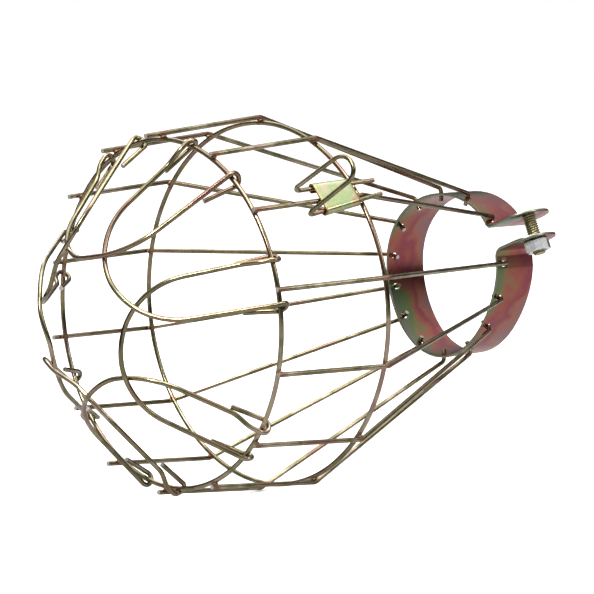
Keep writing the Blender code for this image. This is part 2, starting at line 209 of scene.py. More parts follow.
# %% The room that the metal reflects
TOP_LIGHT, SIDE_LIGHT, LOW_LIGHT = 1.1, 0.06, 0.2
SIDE_START, SIDE_END, TOP_START = 0.42, 0.60, 0.92
WHITE = (1.0, 1.0, 1.0, 1.0)
world = bpy.data.worlds.new("studio")
bpy.context.scene.world = world
world.use_nodes = True
world.node_tree.nodes.clear()
room = Bench(world.node_tree)
direction = room.node("ShaderNodeTexCoord", output="Generated")
height = room.node("ShaderNodeSeparateXYZ", sockets={"Vector": direction}, output="Z")
levels = ((0.0, LOW_LIGHT), (SIDE_START, SIDE_LIGHT), (SIDE_END, SIDE_LIGHT), (TOP_START, TOP_LIGHT))
greys = [(place, (level,) * 3) for place, level in levels]
glow = room.node("ShaderNodeValToRGB", {"stops": greys}, {"Fac": height * 0.5 + 0.5})
seen = room.node("ShaderNodeLightPath", output="Is Camera Ray")
shown = room.node("ShaderNodeMix", {"data_type": "RGBA"}, {0: seen, 6: glow, 7: WHITE}, output=2)
background = room.node("ShaderNodeBackground", sockets={"Color": shown, "Strength": 1.0})
world_end = world.node_tree.nodes.new("ShaderNodeOutputWorld")
world.node_tree.links.new(background.socket, world_end.inputs["Surface"])
bpy.context.scene.view_settings.view_transform = "Standard"
print("room ready")


# %% Soft lights
CAGE_MIDDLE = Vector((-0.09, 0.0, 0.0))
CEILING_POWER, CEILING_SPREAD = 1.9, 70.0


def soft_box(name, place, size, power):
    """A round soft lamp at this place, aimed at the middle of the cage."""
    data = bpy.data.lights.new(name, "AREA")
    data.shape = "DISK"
    data.size = size
    data.energy = power
    lamp = bpy.data.objects.new(name, data)
    bpy.context.scene.collection.objects.link(lamp)
    lamp.location = place
    lamp.rotation_euler = (CAGE_MIDDLE - Vector(place)).to_track_quat("-Z", "Y").to_euler()


soft_box("side_box", (-1.1, -0.47, 0.88), 0.35, 14.0)
soft_box("top_box", (-0.3, -0.5, 1.5), 0.9, 16.0)
soft_box("fill_box", (0.4, -1.2, 0.8), 0.6, 5.0)
soft_box("back_box", (0.3, 1.2, 1.0), 0.9, 7.0)
ceiling_data = bpy.data.lights.new("ceiling_glow", "SUN")
ceiling_data.energy = CEILING_POWER
ceiling_data.angle = math.radians(CEILING_SPREAD)
ceiling = bpy.data.objects.new("ceiling_glow", ceiling_data)
bpy.context.scene.collection.objects.link(ceiling)

# %% The pale floor
FLOOR_SIZE, FLOOR_POINTS, FLOOR_GAP = 20.0, 64, 0.0005
CARD_GREY, PALE, PALER = 0.33, 0.93, 0.96
GRAIN_SCALE, FLOOR_ROUGHNESS = 6.0, 0.9
floor_mesh = bmesh.new()
bmesh.ops.create_circle(floor_mesh, cap_ends=True, segments=FLOOR_POINTS, radius=FLOOR_SIZE)
bmesh.ops.translate(floor_mesh, verts=floor_mesh.verts, vec=(0.0, 0.0, packed_box[0].z - FLOOR_GAP))
floor_data = bpy.data.meshes.new("floor")
floor_mesh.to_mesh(floor_data)
floor_mesh.free()
floor = bpy.data.objects.new("floor", floor_data)
bpy.context.scene.collection.objects.link(floor)
paint = bpy.data.materials.new("pale_floor")
paint.use_nodes = True
floor_bench = Bench(paint.node_tree)
colour_mix = {"data_type": "RGBA"}
grain = floor_bench.node("ShaderNodeTexNoise", sockets={"Scale": GRAIN_SCALE, "Detail": 3.0})
pale, paler, card = ((level, level, level, 1.0) for level in (PALE, PALER, CARD_GREY))
tint = floor_bench.node("ShaderNodeMix", colour_mix, {0: grain, 6: pale, 7: paler}, output=2)
eye = floor_bench.node("ShaderNodeLightPath", output="Is Camera Ray")
tint = floor_bench.node("ShaderNodeMix", colour_mix, {0: eye, 6: card, 7: tint}, output=2)
floor_shader = paint.node_tree.nodes["Principled BSDF"]
paint.node_tree.links.new(tint.socket, floor_shader.inputs["Base Color"])
floor_shader.inputs["Roughness"].default_value = FLOOR_ROUGHNESS
floor_shader.inputs["Specular IOR Level"].default_value = 0.0
floor_data.materials.append(paint)
print(f"floor at z = {packed_box[0].z - FLOOR_GAP:.4f} m")

# %% [markdown]
# ## Yellow passivated zinc
#
# Steel wire is plated with a few microns of zinc and dipped in a chromate bath. The film that grows is thin
# enough to colour the light that it reflects, and it drains unevenly: gold where it is thin, olive and then
# pink and brown where it is thicker. So the colour is a slow cloud through a ramp of those tints. A faster
# cloud scuffs the gloss. Drawn wire also carries faint lines along its length, and each sheared end shows
# bright steel.

# %% A finish, its cloud and its shader
CUT_STEEL = (0.50, 0.48, 0.44, 1.0)


class Finish(Bench):
    """A metal finish: a material whose shader is given what varies over the surface."""

    def __init__(self, name):
        self.material = bpy.data.materials.new(name)
        self.material.use_nodes = True
        super().__init__(self.material.node_tree)
        self.shader = self.tree.nodes["Principled BSDF"]
        self.place = self.node("ShaderNodeTexCoord", output="Object")

    def cloud(self, size, shift, detail=2.0, stretch=(1.0, 1.0, 1.0), place=None):
        """A soft random pattern with features of this size in metres. Another shift gives another cloud."""
        sockets = {"Vector": place or self.place, "Location": (shift,) * 3, "Scale": stretch}
        moved = self.node("ShaderNodeMapping", sockets=sockets)
        sockets = {"Vector": moved, "Scale": 1.0 / size, "Detail": detail}
        return self.node("ShaderNodeTexNoise", sockets=sockets)

    def attribute(self, name, output="Fac"):
        return self.node("ShaderNodeAttribute", {"attribute_name": name}, output=output)

    def ramp(self, value, stops):
        return self.node("ShaderNodeValToRGB", {"stops": stops}, {"Fac": value})

    def blend(self, share, first, second):
        return self.node("ShaderNodeMix", {"data_type": "RGBA"}, {0: share, 6: first, 7: second}, output=2)

    def clamp(self, value, low, high, flip=False):
        """0 below low and 1 above high, with a soft step between, or the other way round."""
        ends = (1.0, 0.0) if flip else (0.0, 1.0)
        sockets = dict(zip(MAP_SOCKETS, (value, low, high, *ends)))
        return self.node("ShaderNodeMapRange", {"interpolation_type": "SMOOTHSTEP"}, sockets)

    def done(self, colour, roughness, bump, depth):
        """Connects what varies, makes it metal and gives the material."""
        links = self.tree.links
        links.new(colour.socket, self.shader.inputs["Base Color"])
        links.new(roughness.socket, self.shader.inputs["Roughness"])
        raised = self.node("ShaderNodeBump", sockets={"Height": bump, "Distance": depth, "Strength": 1.0})
        links.new(raised.socket, self.shader.inputs["Normal"])
        self.shader.inputs["Metallic"].default_value = 1.0
        print(f"finish {self.material.name}: {len(self.tree.nodes)} nodes")
        return self.material


# %% The wire's finish
WIRE_TINTS = [
    (0.36, (0.180, 0.090, 0.070)),
    (0.44, (0.240, 0.160, 0.110)),
    (0.50, (0.260, 0.210, 0.120)),
    (0.56, (0.145, 0.130, 0.070)),
    (0.63, (0.380, 0.320, 0.220)),
    (0.72, (0.290, 0.190, 0.155)),
]
HEAT_BROWN = (0.19, 0.095, 0.060, 1.0)
LINES_PER_METRE = 60.0
CUT_START, CUT_END = 0.00002, 0.00014


def zinc_wire():
    finish = Finish("yellow_zinc_wire")
    along = finish.attribute("along")
    round_it = finish.attribute("around", "Vector")
    streak_place = finish.node("ShaderNodeCombineXYZ", sockets={"X": along * LINES_PER_METRE})
    streak_place = finish.node("ShaderNodeVectorMath", {"operation": "ADD"}, {0: streak_place, 1: round_it})
    streak = finish.cloud(0.35, 3.1, 3.0, place=streak_place)
    slow = finish.cloud(0.030, 0.7, 1.5)
    fast = finish.cloud(0.006, 5.2, 3.0)
    film = slow * 0.75 + fast * 0.20 + streak * 0.12
    colour = finish.ramp(film, WIRE_TINTS)
    heat = finish.clamp(finish.attribute("weld_heat") + fast * 0.35, 0.62, 1.05)
    colour = finish.blend(heat * 0.8, colour, HEAT_BROWN)
    cut_end = finish.clamp(finish.attribute("from_end"), CUT_START, CUT_END, flip=True)
    colour = finish.blend(cut_end, colour, CUT_STEEL)
    roughness = 0.12 + 0.12 * fast + 0.14 * heat
    return finish.done(colour, roughness, streak * 0.7 + fast * 0.5, 0.00003)


WIRE_FINISH = zinc_wire()


# %% [markdown]
# ## The finish of the sheet pieces
#
# The broad sheet shows the film best. It drained towards one edge in the bath, so the side by the cage has
# a green and gold margin, and the rest is rose and magenta. The ramp is read from a cloud that leans on the
# X position, and the sheared edges and the slot walls stay grey-green, which a `sheet_edge` value in the
# mesh tells the shader. The clip's small plate has a thinner, paler film.


# %% The finishes of the band and the clip's plate
BAND_TINTS = [
    (0.24, (0.150, 0.160, 0.115)),
    (0.33, (0.115, 0.185, 0.075)),
    (0.40, (0.240, 0.155, 0.080)),
    (0.50, (0.330, 0.095, 0.075)),
    (0.60, (0.255, 0.065, 0.085)),
    (0.72, (0.340, 0.130, 0.090)),
    (0.84, (0.270, 0.140, 0.145)),
]
PLATE_TINTS = [
    (0.40, (0.47, 0.31, 0.20)),
    (0.50, (0.46, 0.45, 0.24)),
    (0.60, (0.33, 0.44, 0.22)),
    (0.72, (0.48, 0.43, 0.29)),
]
BAND_EDGE, PLATE_EDGE = (0.27, 0.275, 0.21, 1.0), (0.25, 0.16, 0.07, 1.0)
FILM_DRIFT, FILM_START = 20.0, 0.19


def zinc_band():
    finish = Finish("yellow_zinc_band")
    across = finish.node("ShaderNodeSeparateXYZ", sockets={"Vector": finish.place}, output="X")
    slow = finish.cloud(0.024, 2.3, 2.0)
    warp = finish.cloud(0.010, 7.7, 3.0)
    fine = finish.cloud(0.0012, 1.9, 2.0, stretch=(1.0, 0.35, 0.35))
    colour = finish.ramp(across * FILM_DRIFT + slow + warp * 0.42 - FILM_START, BAND_TINTS)
    edge = finish.attribute("sheet_edge")
    colour = finish.blend(edge, colour, BAND_EDGE)
    roughness = 0.14 + 0.12 * warp + 0.08 * fine + 0.12 * edge
    return finish.done(colour, roughness, fine * 0.4 + warp * 0.4, 0.00005)


def zinc_plate():
    finish = Finish("yellow_zinc_plate")
    slow = finish.cloud(0.009, 4.4, 2.0)
    fine = finish.cloud(0.0010, 1.1, 2.0)
    colour = finish.ramp(slow + fine * 0.15, PLATE_TINTS)
    edge = finish.attribute("sheet_edge")
    colour = finish.blend(edge, colour, PLATE_EDGE)
    roughness = 0.18 + 0.16 * slow + 0.15 * edge
    return finish.done(colour, roughness, fine * 0.5 + slow * 0.5, 0.00005)


BAND_FINISH = zinc_band()
PLATE_FINISH = zinc_plate()


# %% [markdown]
# ## The finishes of the screw, the nut and the welds
#
# The stud is passivated like the wire, and the roots of its thread are painted darker: painted shade,
# standing in for the shade that falls in those grooves. The nut is plain bright zinc, turned and tumbled, so
# it is almost white with fine scratches. A spot weld burns the plating, which leaves a small brown-grey lump
# with a rough skin.


# %% Fastener and weld finishes
STUD_TINTS = [(0.36, (0.40, 0.30, 0.16)), (0.52, (0.50, 0.46, 0.26)), (0.66, (0.58, 0.52, 0.36))]
NUT_TINTS = [(0.35, (0.62, 0.64, 0.66)), (0.52, (0.80, 0.81, 0.83)), (0.68, (0.74, 0.73, 0.68))]
WELD_TINTS = [(0.38, (0.12, 0.065, 0.040)), (0.55, (0.24, 0.150, 0.090)), (0.70, (0.34, 0.260, 0.170))]
# The near-black brown painted into the stud's thread roots: painted shade in the grooves.
THREAD_ROOT_PAINTED_SHADE = (0.10, 0.085, 0.05, 1.0)


def zinc_stud():
    finish = Finish("yellow_zinc_stud")
    slow = finish.cloud(0.004, 0.9, 2.0)
    fine = finish.cloud(0.0006, 6.1, 2.0)
    root = finish.attribute("thread_root")
    # Painted shade: the colour is mixed towards near-black brown where the thread is deepest.
    colour = finish.blend(root * 0.85, finish.ramp(slow, STUD_TINTS), THREAD_ROOT_PAINTED_SHADE)
    return finish.done(colour, 0.22 + 0.18 * fine + 0.2 * root, fine, 0.00004)


def bright_nut():
    finish = Finish("bright_zinc_nut")
    slow = finish.cloud(0.003, 8.3, 2.0)
    scratch = finish.cloud(0.0004, 3.7, 2.0, stretch=(0.15, 1.0, 1.0))
    return finish.done(finish.ramp(slow, NUT_TINTS), 0.16 + 0.16 * scratch, scratch, 0.00003)


def weld_metal():
    finish = Finish("burnt_weld")
    slow = finish.cloud(0.0012, 2.9, 3.0)
    return finish.done(finish.ramp(slow, WELD_TINTS), 0.34 + 0.2 * slow, slow, 0.00012)


STUD_FINISH = zinc_stud()
NUT_FINISH = bright_nut()
WELD_FINISH = weld_metal()

# %% [markdown]
# ## Where the wires run
#
# Every wire of the guard is one centreline. The ring and cage share angles from -Y (0 degrees) towards +Z
# (90), and a bend is an arc put in the place of a corner. Long straight stretches get extra points, because
# values such as the heat round a weld are kept at points, and each cut end gets a few points close together
# for its worn rim.


# %% Points round the bore and the cage
def around(x, radius, angle):
    turn = math.radians(angle)
    return Vector((x, -radius * math.cos(turn), radius * math.sin(turn)))


def tangent(angle):
    turn = math.radians(angle)
    return Vector((0.0, math.sin(turn), math.cos(turn)))


def cage_point(x, radius, angle):
    return around(x, radius, angle) - Vector((0.0, 0.0, CAGE_DROP))


def basis(origin, x_axis, y_axis, z_axis):
    turned = Matrix((x_axis, y_axis, z_axis)).transposed()
    return Matrix.Translation(origin) @ turned.to_4x4()


def bore_radius(angle):
    from_ears = math.radians(angle - EAR_ANGLE)
    oval = BORE_OVAL * math.cos(math.radians(2.0 * (angle - OVAL_ANGLE)))
    return BORE_RADIUS * (1.0 + oval + EAR_PULL * (math.cos(from_ears) + math.cos(3.0 * from_ears)))


def smooth_step(share):
    share = min(max(share, 0.0), 1.0)
    return share * share * (3.0 - 2.0 * share)


print("ring radius at the ears:", round(bore_radius(EAR_ANGLE), 5))


# %% Bends and extra points
BEND_STEPS = 10
LONGEST_STEP = 0.0016
RIM_POINTS = (0.00007, 0.00016, 0.0003)


def rounded(corners, radii, steps=BEND_STEPS):
    """The path through these corners, with each inner corner replaced by an arc of its radius."""
    path = [corners[0]]
    for before, corner, after, radius in zip(corners, corners[1:], corners[2:], radii):
        arriving = (corner - before).normalized()
        leaving = (after - corner).normalized()
        turn = arriving.angle(leaving)
        centre = corner + (leaving - arriving).normalized() * radius / math.cos(turn / 2)
        spoke = corner - arriving * radius * math.tan(turn / 2) - centre
        axis = arriving.cross(leaving)
        for step in range(steps + 1):
            path.append(centre + Matrix.Rotation(turn * step / steps, 3, axis) @ spoke)
    return path + [corners[-1]]


def filled(path):
    """The same path with no step longer than LONGEST_STEP, and with a few close points at each cut end."""
    dense = [path[0]]
    for start, end in zip(path, path[1:]):
        count = max(1, math.ceil((end - start).length / LONGEST_STEP))
        dense += [start.lerp(end, step / count) for step in range(1, count + 1)]
    first = (dense[1] - dense[0]).normalized()
    last = (dense[-2] - dense[-1]).normalized()
    head = [dense[0] + first * gap for gap in RIM_POINTS]
    tail = [dense[-1] + last * gap for gap in reversed(RIM_POINTS)]
    return [dense[0], *head, *dense[1:-1], *tail, dense[-1]]


# %% [markdown]
# ## A Geometry Nodes tree that draws wire
#
# Thirty wires share one job: sweep a round section along a centreline. Doing that in Geometry Nodes means
# the section, the worn rim of a sheared end and the heat near a weld are written once. Along the way the
# tree stores what the finish reads: the distance along the wire, the direction round it, the distance from
# a cut end, and how close the nearest weld is.


# %% Helpers for geometry trees
def new_geometry_tree(name, inputs):
    """An empty geometry tree with these named inputs, and a bench to build it on."""
    tree = bpy.data.node_groups.new(name, "GeometryNodeTree")
    tree.interface.new_socket("Geometry", in_out="INPUT", socket_type="NodeSocketGeometry")
    for label, kind, value in inputs:
        socket = tree.interface.new_socket(label, in_out="INPUT", socket_type=kind)
        if value is not None:
            socket.default_value = value
    tree.interface.new_socket("Geometry", in_out="OUTPUT", socket_type="NodeSocketGeometry")
    given = tree.nodes.new("NodeGroupInput")
    inputs_by_name = {socket.name: Signal(socket) for socket in given.outputs if socket.name}
    return tree, Bench(tree), inputs_by_name


def end_tree(bench, shape, material):
    """Every tree ends in real geometry with its finish on."""
    real = bench.node("GeometryNodeRealizeInstances", sockets={"Geometry": shape})
    coated = bench.node("GeometryNodeSetMaterial", sockets={"Geometry": real, "Material": material})
    end = bench.tree.nodes.new("NodeGroupOutput")
    bench.tree.links.new(coated.socket, end.inputs[0])


def store(bench, shape, name, kind, value):
    """Keeps a value at the points of a shape, under a name that a finish can read."""
    settings = {"data_type": kind, "domain": "POINT"}
    sockets = {"Geometry": shape, "Name": name, "Value": value}
    return bench.node("GeometryNodeStoreNamedAttribute", settings, sockets)


# %% The wire tree
END_SHARE, RIM_LENGTH, WELD_CORE, WELD_REACH, WIRE_SIDES = 0.72, 0.00028, 0.001, 0.0042, 12


def build_wire_tree():
    tree, bench, given = new_geometry_tree(
        "swept_wire",
        [
            ("Diameter", "NodeSocketFloat", WIRE),
            ("Sides", "NodeSocketInt", WIRE_SIDES),
            ("Closed", "NodeSocketFloat", 0.0),
            ("Rim length", "NodeSocketFloat", RIM_LENGTH),
            ("End share", "NodeSocketFloat", END_SHARE),
            ("Weld points", "NodeSocketObject", None),
            ("Weld reach", "NodeSocketFloat", WELD_REACH),
            ("Finish", "NodeSocketMaterial", None),
        ],
    )
    line = bench.node("GeometryNodeMeshToCurve", sockets={"Mesh": given["Geometry"]})
    along = bench.node("GeometryNodeSplineParameter", output="Length")
    whole = bench.node("GeometryNodeSplineLength", output="Length")
    from_end = along.maths("MINIMUM", along, whole - along) + given["Closed"]
    line = store(bench, line, "along", "FLOAT", along)
    line = store(bench, line, "from_end", "FLOAT", from_end)
    welds = bench.node("GeometryNodeObjectInfo", sockets={"Object": given["Weld points"]}, output="Geometry")
    reach = bench.node("GeometryNodeProximity", {"target_element": "POINTS"}, {"Geometry": welds}, "Distance")
    cooling = (reach, WELD_CORE, given["Weld reach"], 1.0, 0.0)
    heat = bench.node("ShaderNodeMapRange", sockets=dict(zip(MAP_SOCKETS, cooling)))
    line = store(bench, line, "weld_heat", "FLOAT", heat)
    rim = dict(zip(MAP_SOCKETS, (from_end, 0.0, given["Rim length"], given["End share"], 1.0)))
    swell = bench.node("ShaderNodeMapRange", {"interpolation_type": "SMOOTHSTEP"}, rim)
    line = bench.node("GeometryNodeSetCurveRadius", sockets={"Curve": line, "Radius": swell})
    section = bench.node(
        "GeometryNodeCurvePrimitiveCircle",
        {"mode": "RADIUS"},
        {"Resolution": given["Sides"], "Radius": given["Diameter"] * 0.5},
    )
    place = bench.node("GeometryNodeInputPosition")
    outward = bench.node("ShaderNodeVectorMath", {"operation": "NORMALIZE"}, {0: place})
    section = store(bench, section, "around", "FLOAT_VECTOR", outward)
    swept = {"Curve": line, "Profile Curve": section, "Fill Caps": True}
    tube = bench.node("GeometryNodeCurveToMesh", sockets=swept)
    corners = bench.node("GeometryNodeInputMeshFaceNeighbors", output="Vertex Count")
    is_wall = corners.maths("LESS_THAN", corners, 5.0)
    smooth = {"Geometry": tube, "Shade Smooth": is_wall}
    tube = bench.node("GeometryNodeSetShadeSmooth", {"domain": "FACE"}, smooth)
    end_tree(bench, tube, given["Finish"])
    return tree


WIRE_TREE = build_wire_tree()
print("wire tree:", len(WIRE_TREE.nodes), "nodes")


# %% [markdown]
# ## From a tree to a plain piece
#
# A modifier's inputs are set by their socket identifiers, then the evaluated result is copied into a plain
# mesh. After that the modifier and its guide are gone, so the piece is ordinary geometry that can ride on a
# body.


# %% Making pieces
def line_mesh(name, points, closed=False):
    """A centreline as vertices joined by edges. Its last point joins its first if it is closed."""
    edges = [(i, i + 1) for i in range(len(points) - 1)]
    if closed:
        edges.append((len(points) - 1, 0))
    data = bpy.data.meshes.new(name)
    data.from_pydata([tuple(point) for point in points], edges, [])
    return data


def grown(name, guide, tree, values):
    """The plain mesh that a tree makes from a guide mesh."""
    holder = bpy.data.objects.new(name + "_guide", guide)
    bpy.context.scene.collection.objects.link(holder)
    modifier = holder.modifiers.new("grow", "NODES")
    modifier.node_group = tree
    for item in tree.interface.items_tree:
        if item.in_out == "INPUT" and item.name in values:
            modifier[item.identifier] = values[item.name]
    graph = bpy.context.evaluated_depsgraph_get()
    mesh = bpy.data.meshes.new_from_object(holder.evaluated_get(graph), depsgraph=graph)
    mesh.name = name
    holder.modifiers.remove(modifier)
    bpy.data.objects.remove(holder)
    return mesh


def add_piece(name, mesh, material, body, slot, *nodes):
    """Puts a finished mesh into the scene, on its body and in the place of its plain solids."""
    if not mesh.materials:
        mesh.materials.append(material)
    piece = bpy.data.objects.new(name, mesh)
    bpy.context.scene.collection.objects.link(piece)
    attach(piece, body)
    if nodes:
        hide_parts(*nodes)
    return piece


def add_wire(name, points, body, node, diameter=WIRE, closed=False):
    values = {
        "Diameter": diameter,
        "Sides": WIRE_SIDES,
        "Closed": 1.0 if closed else 0.0,
        "Weld points": WELD_POINTS,
        "Finish": WIRE_FINISH,
    }
    path = points if closed else filled(points)
    mesh = grown(name, line_mesh(name, path, closed), WIRE_TREE, values)
    add_piece(name, mesh, WIRE_FINISH, body, "wire_zinc", node)
    return len(mesh.polygons)


# %% [markdown]
# ## The welds
#
# Each rib is spot welded where it crosses a hoop: the wires are squeezed between electrodes, and a little
# metal is pushed out at the crossing. That makes 28 small lumps, all alike but none the same, so they are
# instances of one low ball, turned to the wires and varied in size from a fixed seed.


# %% Where ribs cross hoops
def rib_angle(rib):
    return FIRST_RIB_ANGLE - 360.0 * rib / RIB_COUNT


def rib_at_hoop(rib, x, hoop_radius):
    return cage_point(x, hoop_radius + RIB_LIFT, rib_angle(rib))


HOOPS = ((LARGE_HOOP_X, LARGE_HOOP_RADIUS), (SMALL_HOOP_X, SMALL_HOOP_RADIUS))
crossings = [
    (cage_point(x, radius + RIB_LIFT / 2, rib_angle(rib)), around(0.0, 1.0, rib_angle(rib)))
    for rib in range(RIB_COUNT)
    for x, radius in HOOPS
]
weld_guide = line_mesh("weld_points", [place for place, _ in crossings])
outward_values = weld_guide.attributes.new("outward", "FLOAT_VECTOR", "POINT")
outward_values.data.foreach_set("vector", [c for _, outward in crossings for c in outward])
WELD_POINTS = bpy.data.objects.new("weld_points", weld_guide)
bpy.context.scene.collection.objects.link(WELD_POINTS)
WELD_POINTS.hide_render = True
print("welds:", len(crossings))

# %% The weld tree
WELD_SIZE, WELD_SEED, WELD_SIDES, WELD_RINGS = (0.0027, 0.0023, 0.0014), 11, 10, 7
SMALLEST_WELD, LARGEST_WELD = (0.85, 0.8, 0.9), (1.15, 1.2, 1.05)


def build_weld_tree():
    tree, bench, given = new_geometry_tree(
        "spot_welds",
        [
            ("Size", "NodeSocketVector", WELD_SIZE),
            ("Seed", "NodeSocketInt", WELD_SEED),
            ("Finish", "NodeSocketMaterial", None),
        ],
    )
    vectors = {"data_type": "FLOAT_VECTOR"}
    round_ball = {"Segments": WELD_SIDES, "Rings": WELD_RINGS, "Radius": 0.5}
    ball = bench.node("GeometryNodeMeshUVSphere", sockets=round_ball)
    outward = bench.node("GeometryNodeInputNamedAttribute", vectors, {"Name": "outward"})
    stand = {"axis": "Z", "pivot_axis": "AUTO"}
    turned = bench.node("FunctionNodeAlignRotationToVector", stand, {"Vector": outward})
    spread = {0: SMALLEST_WELD, 1: LARGEST_WELD, "Seed": given["Seed"]}
    varied = bench.node("FunctionNodeRandomValue", vectors, spread)
    size = bench.node("ShaderNodeVectorMath", {"operation": "MULTIPLY"}, {0: varied, 1: given["Size"]})
    placed = {"Points": given["Geometry"], "Instance": ball, "Rotation": turned, "Scale": size}
    welds = bench.node("GeometryNodeInstanceOnPoints", sockets=placed)
    real = bench.node("GeometryNodeRealizeInstances", sockets={"Geometry": welds})
    smooth = bench.node("GeometryNodeSetShadeSmooth", {"domain": "FACE"}, {"Geometry": real})
    end_tree(bench, smooth, given["Finish"])
    return tree


weld_sizes = {"Size": WELD_SIZE, "Finish": WELD_FINISH}
weld_mesh = grown("weld_beads", weld_guide.copy(), build_weld_tree(), weld_sizes)
add_piece("weld_beads", weld_mesh, WELD_FINISH, "root", "wire_zinc")
print("weld faces:", len(weld_mesh.polygons))

# %% [markdown]
# ## The hoops
#
# Each hoop is a wire rolled to a ring and butt welded. A closed centreline of 168 points keeps it round at
# any distance, and the sweep has no ends to cap.

# %% Two hoops
HOOP_POINTS = 168
for name, (x, radius) in zip(("hoop_large", "hoop_small"), HOOPS):
    ring = [cage_point(x, radius, FIRST_RIB_ANGLE + 360.0 * i / HOOP_POINTS) for i in range(HOOP_POINTS)]
    print(name, add_wire(name + "_wire", ring, "root", name, closed=True), "faces")

# %% [markdown]
# ## The ribs
#
# A rib starts as a pin that hooks through a slot of the band, bends down along the outside of the cage over
# the large hoop, and runs on past the small hoop by a short tail that differs from rib to rib. The pins are
# spaced evenly round the ring, with one wider step across the ears.


# %% Fourteen ribs
def pin_angle(rib):
    step = (360.0 - PIN_SPREAD) / (RIB_COUNT - 1)
    return EAR_ANGLE + PIN_OFFSET - PIN_SPREAD / 2 - (rib - CLIP_RIB - 1) % RIB_COUNT * step


def rib_path(rib):
    angle = pin_angle(rib)
    inside = around(PIN_X, bore_radius(angle) - PIN_REACH, angle)
    shoulder = around(PIN_X, bore_radius(angle) + BAND_WALL + WIRE, angle)
    large = rib_at_hoop(rib, *HOOPS[0])
    small = rib_at_hoop(rib, *HOOPS[1])
    end = small + (small - large).normalized() * (WIRE / 2 + RIB_TAILS[rib])
    radii = [RIB_BEND_RADIUS, 2.0 * RIB_BEND_RADIUS]
    half_turn = (large - shoulder).angle(end - large) / 2.0
    large += around(0.0, radii[1] * (1.0 / math.cos(half_turn) - 1.0), rib_angle(rib))
    return rounded([inside, shoulder, large, end], radii)


rib_faces = 0
for rib in range(RIB_COUNT):
    rib_faces += add_wire(f"rib_wire_{rib + 1:02d}", rib_path(rib), "root", f"rib_{rib + 1:02d}")
print("rib faces:", rib_faces)

# %% [markdown]
# ## The petals
#
# Seven bent wires close the nose. Each is a wide loop whose two ends are hooked round the small hoop, so it
# can swing open to let the bulb in. One leg dips under the next petal's, and that is how the ring of petals
# weaves together. They are all one shape, so one path is made and then stood in seven places.

# %% A petal's path
HOOK_STEPS, LEG_STEPS, ARC_STEPS = 18, 20, 56


def petal_level(across, along):
    side = smooth_step(across / DIP_WIDTH + 0.5)
    return HOOK_RADIUS - PETAL_DIP * side * smooth_step((along - DIP_START) / DIP_LENGTH)


def petal_path():
    half_chord = SMALL_HOOP_RADIUS * math.sin(math.radians(PETAL_HALF_ANGLE))
    centre = PETAL_LENGTH - PETAL_END_RADIUS
    to_hook = math.hypot(half_chord, centre)
    arc_start = math.acos(PETAL_END_RADIUS / to_hook) - math.atan2(centre, half_chord)
    leg_end = PETAL_END_RADIUS * math.cos(arc_start), centre + PETAL_END_RADIUS * math.sin(arc_start)
    slope = (half_chord - leg_end[0]) / leg_end[1]

    def leg_point(side, along, level):
        return Vector((side * (half_chord - slope * max(along, 0.0)), along, level))

    def hook(side):
        leg_level = petal_level(side * half_chord, HOOK_TAIL)
        rise = (leg_level - WIRE - TAIL_GAP) / math.hypot(HOOK_TAIL, HOOK_RADIUS)
        lean = math.asin(rise) + math.atan2(HOOK_RADIUS, HOOK_TAIL)
        start = HOOK_RADIUS * math.sin(lean), -HOOK_RADIUS * math.cos(lean)
        points = []
        for share in (1.0, 0.5):
            along = start[0] + HOOK_TAIL * share * math.cos(lean)
            points.append(leg_point(side, along, start[1] + HOOK_TAIL * share * math.sin(lean)))
        for step in range(HOOK_STEPS + 1):
            bend = lean - (math.pi + lean) * step / HOOK_STEPS
            along, level = HOOK_RADIUS * math.sin(bend), -HOOK_RADIUS * math.cos(bend)
            points.append(Vector((side * half_chord, along, level)))
        return points

    def leg(side):
        stations = [leg_end[1] * step / LEG_STEPS for step in range(1, LEG_STEPS)]
        return [leg_point(side, y, petal_level(side * half_chord, y)) for y in stations]

    arc = []
    for step in range(ARC_STEPS + 1):
        turn = arc_start + (math.pi - 2.0 * arc_start) * step / ARC_STEPS
        across = PETAL_END_RADIUS * math.cos(turn)
        along = centre + PETAL_END_RADIUS * math.sin(turn)
        arc.append(Vector((across, along, petal_level(across, along))))
    far_side = hook(-1.0) + leg(-1.0)
    return hook(1.0) + leg(1.0) + arc + far_side[::-1]


# %% Seven petals
def petal_place(angle):
    """A petal's hinge line is the chord between its two hooks on the small hoop."""
    chord_radius = SMALL_HOOP_RADIUS * math.cos(math.radians(PETAL_HALF_ANGLE))
    tilt = math.radians(PETAL_TILT)
    outward = around(0.0, 1.0, angle)
    nose = Vector((-1.0, 0.0, 0.0))
    along = nose * math.sin(tilt) - outward * math.cos(tilt)
    up = nose * math.cos(tilt) + outward * math.sin(tilt)
    return basis(cage_point(SMALL_HOOP_X, chord_radius, angle), tangent(angle), along, up)


petal_line = petal_path()
for number, angle in enumerate(PETAL_ANGLES, 1):
    place = petal_place(angle)
    points = [place @ point for point in petal_line]
    faces = add_wire(f"petal_wire_{number}", points, f"petal_{number}", f"petal_{number}")
    print(f"petal {number} at {angle} degrees: {faces} faces")

# %% [markdown]
# ## The clamp band
#
# The band is blanked flat from strip, with its slots, its stud holes and its rounded ears, and only then
# rolled to a ring. The same order works best here: a flat outline with holes fills and rounds its own edges
# as a two dimensional curve, and a bent mesh keeps those crisp slots without a single Boolean. The flat
# blank is sliced across wherever the band bends, and each point is then carried to its place along the
# band's middle line.


# %% The band's middle line
ROOT_ROUNDS, RING_STEPS, COARSE_STEPS, EAR_BEND_STEPS = 20, 216, 54, 8


def clamp_point(x, reach, height):
    start = around(x, bore_radius(EAR_ANGLE) + BAND_WALL, EAR_ANGLE)
    direction = EAR_ANGLE + EAR_LEAN
    return start + around(0.0, reach, direction) + tangent(direction) * height


